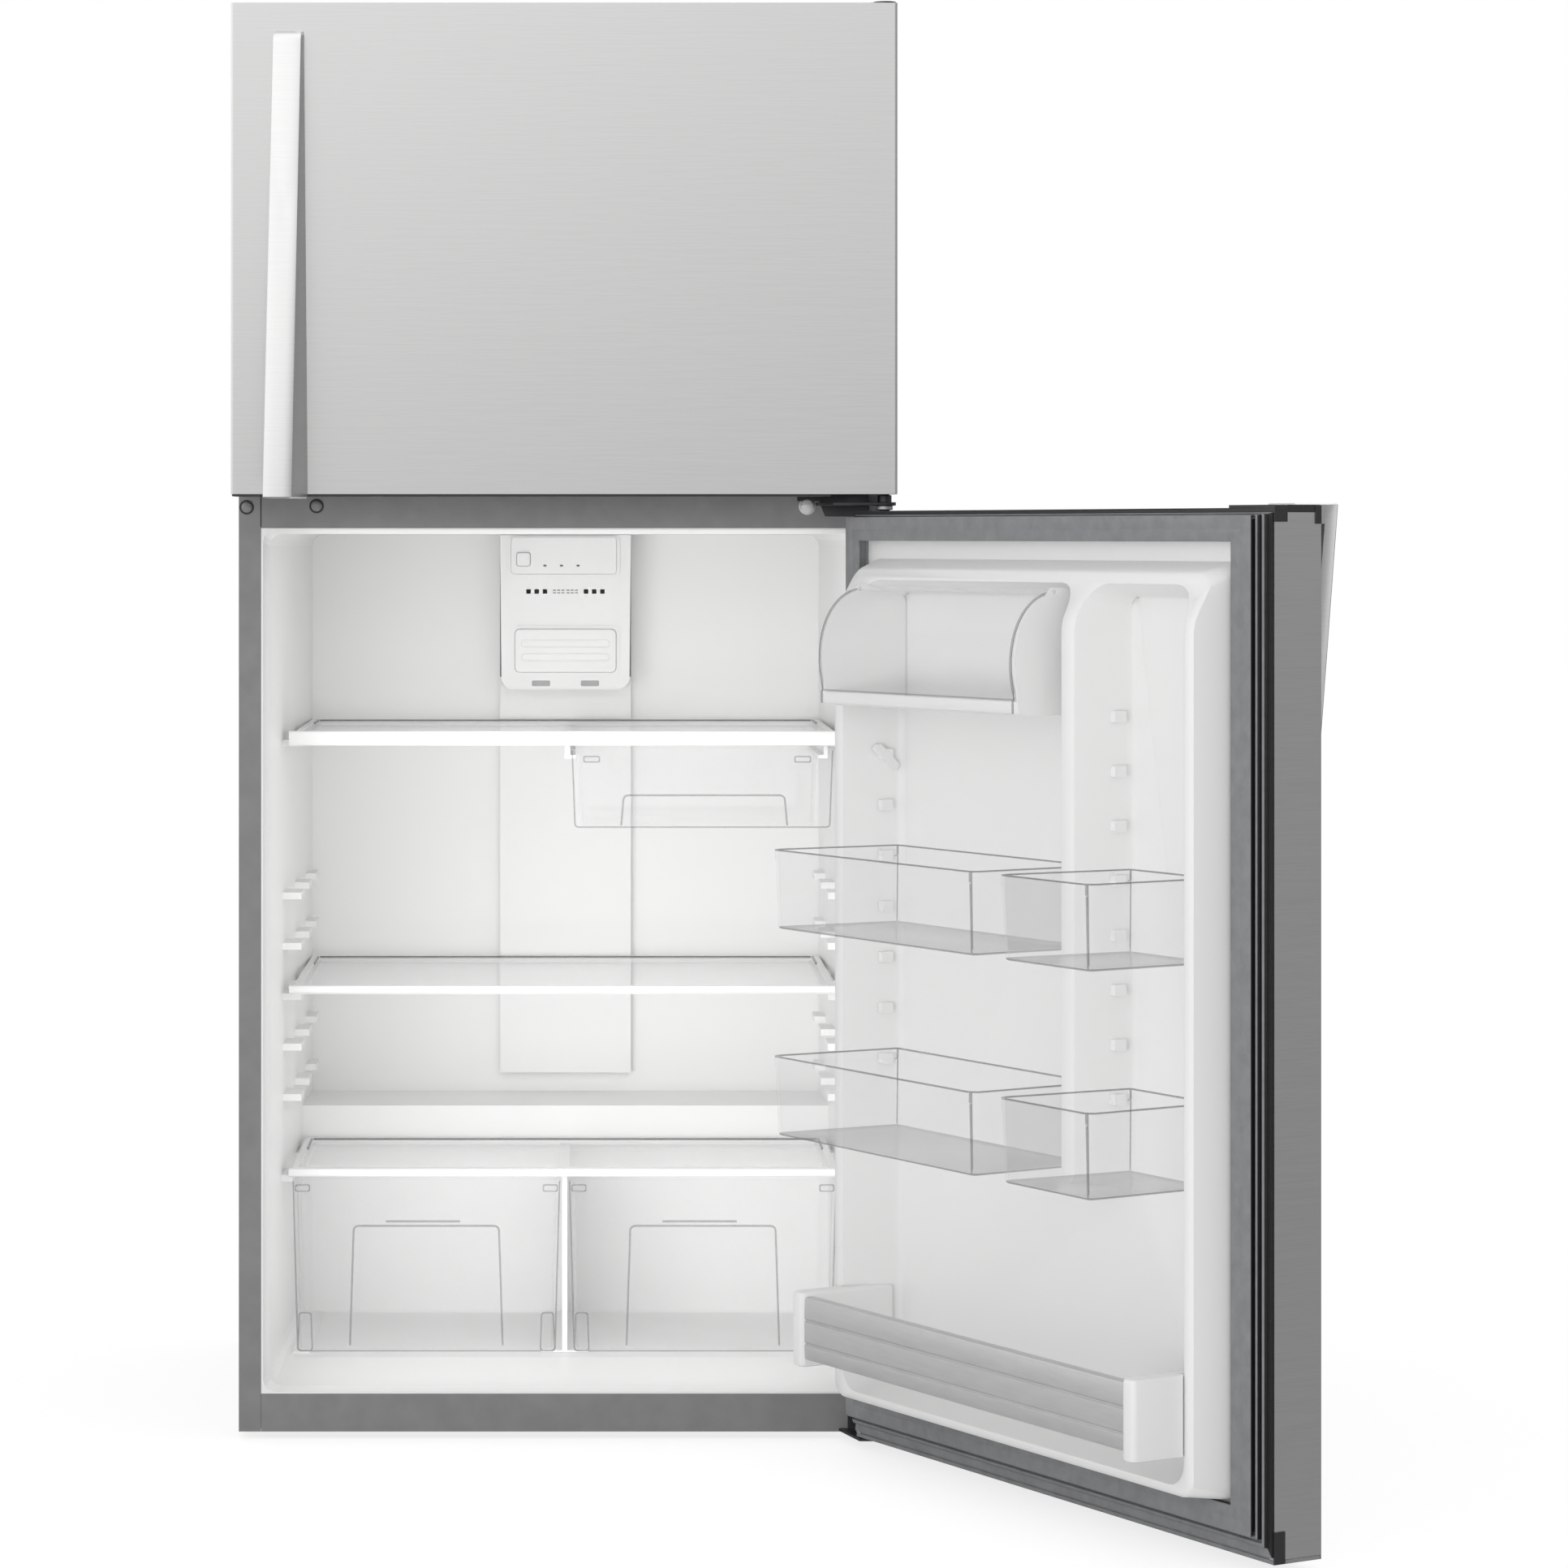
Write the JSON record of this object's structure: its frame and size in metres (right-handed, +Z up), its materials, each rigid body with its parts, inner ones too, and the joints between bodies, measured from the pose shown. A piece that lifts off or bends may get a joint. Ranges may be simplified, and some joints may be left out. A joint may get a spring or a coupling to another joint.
{
  "type": "top freezer refrigerator",
  "caption": "Two-door refrigerator with the freezer on top, the fresh food door open to show glass shelves, drawers and door bins; flat wedge handles.",
  "frame": {"origin": "under the middle of the bounding box of the object as it stands with its lower door open, on the floor", "axes": "+Z up, the cabinet's front faces -Y, the doors' hinges are on the +X side"},
  "size_m": [1.1682, 1.369, 1.651],
  "materials": {
    "stainless_skin": "fine vertical brush, clear fingerprint coat",
    "grey_paint": "textured grey enamel",
    "zinc_steel": "galvanised",
    "dark_steel": "dark hinge plating",
    "white_liner": "formed liner, satin",
    "white_plastic": "moulded, glossy",
    "dark_plastic": "moulded, matte",
    "gasket_rubber": "matte vinyl",
    "clear_plastic": "clear moulded styrene",
    "shelf_glass": "tempered, polished",
    "insulation_foam": "foamed in place",
    "aluminium": "mill finish",
    "black_paint": "satin black enamel"
  },
  "bodies": {
    "evaporator_fan": {"evaporator_fan": "dark_plastic"},
    "rear_rollers": {"rear_rollers": "dark_plastic"},
    "control_button": {"control_button": "white_plastic"},
    "deli_drawer": {"deli_drawer": "clear_plastic"},
    "crisper_drawer_left": {"crisper_drawer_left": "clear_plastic"},
    "crisper_drawer_right": {"crisper_drawer_right": "clear_plastic"},
    "freezer_door": {"freezer_door_skin": "stainless_skin", "freezer_door_top_cap": "dark_plastic", "freezer_door_bottom_cap": "dark_plastic", "freezer_door_liner": "white_liner", "freezer_door_foam": "insulation_foam", "freezer_door_gasket": "gasket_rubber", "freezer_handle": "stainless_skin"},
    "fridge_door": {"fridge_door_skin": "stainless_skin", "fridge_door_top_cap": "dark_plastic", "fridge_door_bottom_cap": "dark_plastic", "fridge_door_liner": "white_liner", "fridge_door_foam": "insulation_foam", "fridge_door_gasket": "gasket_rubber", "fridge_handle": "stainless_skin", "dairy_tray": "white_plastic", "upper_bin_wide": "clear_plastic", "upper_bin_narrow": "clear_plastic", "lower_bin_wide": "clear_plastic", "lower_bin_narrow": "clear_plastic", "retainer_bar": "aluminium", "retainer_bracket_hinge_side": "white_plastic", "retainer_bracket_handle_side": "white_plastic"},
    "dairy_cover": {"dairy_cover": "clear_plastic"},
    "cabinet": {"cabinet_wrapper": "grey_paint", "back_panel": "grey_paint", "base_pan": "zinc_steel", "cabinet_foam": "insulation_foam", "fresh_food_liner": "white_liner", "freezer_liner": "white_liner", "mullion_rail": "grey_paint", "bottom_rail": "grey_paint", "top_hinge": "dark_steel", "center_hinge": "dark_steel", "bottom_hinge": "dark_steel", "plug_button_outer": "grey_paint", "plug_button_inner": "grey_paint", "leveling_leg_left": "zinc_steel", "leveling_leg_right": "zinc_steel", "compressor": "black_paint", "power_inlet": "dark_plastic", "air_tower": "white_plastic", "control_housing": "white_plastic", "control_panel": "white_plastic", "light_lens": "clear_plastic", "upper_shelf_frame": "white_plastic", "upper_shelf_glass": "shelf_glass", "lower_shelf_frame": "white_plastic", "lower_shelf_glass": "shelf_glass", "crisper_cover_frame": "white_plastic", "crisper_cover_glass": "shelf_glass", "crisper_center_support": "white_plastic", "freezer_shelf": "white_plastic", "evaporator_cover": "white_plastic", "evaporator": "aluminium"}
  },
  "joints": [
    {"name": "fridge_door_hinge", "type": "hinge", "parent": "cabinet", "child": "fridge_door", "pos_m": [0.1592, -0.01416, 1.067], "axis": [0, 0, 1], "range_deg": [-119.85, 15]},
    {"name": "freezer_door_hinge", "type": "hinge", "parent": "cabinet", "child": "freezer_door", "pos_m": [0.1592, -0.01416, 1.643], "axis": [0, 0, 1], "range_deg": [0, 125]},
    {"name": "dairy_cover_hinge", "type": "hinge", "parent": "fridge_door", "child": "dairy_cover", "pos_m": [0.21627, -0.27575, 0.98], "axis": [-0.4977, 0.8673, 0], "range_deg": [0, 60]},
    {"name": "deli_drawer_slide", "type": "slide", "parent": "cabinet", "child": "deli_drawer", "axis": [0, -1, 0], "range_m": [0, 0.2]},
    {"name": "crisper_left_slide", "type": "slide", "parent": "cabinet", "child": "crisper_drawer_left", "axis": [0, -1, 0], "range_m": [0, 0.2]},
    {"name": "crisper_right_slide", "type": "slide", "parent": "cabinet", "child": "crisper_drawer_right", "axis": [0, -1, 0], "range_m": [0, 0.2]},
    {"name": "control_button_press", "type": "slide", "parent": "cabinet", "child": "control_button", "axis": [0, 1, 0], "range_m": [0, 0.0015], "stiffness_N_per_m": 300, "springref_m": -0.001},
    {"name": "evaporator_fan_spin", "type": "hinge", "parent": "cabinet", "child": "evaporator_fan", "pos_m": [-0.2061, 0.55854, 1.47], "axis": [0, 1, 0], "continuous": true},
    {"name": "rear_rollers_spin", "type": "hinge", "parent": "cabinet", "child": "rear_rollers", "pos_m": [-0.2061, 0.55454, 0.018], "axis": [1, 0, 0], "continuous": true}
  ]
}
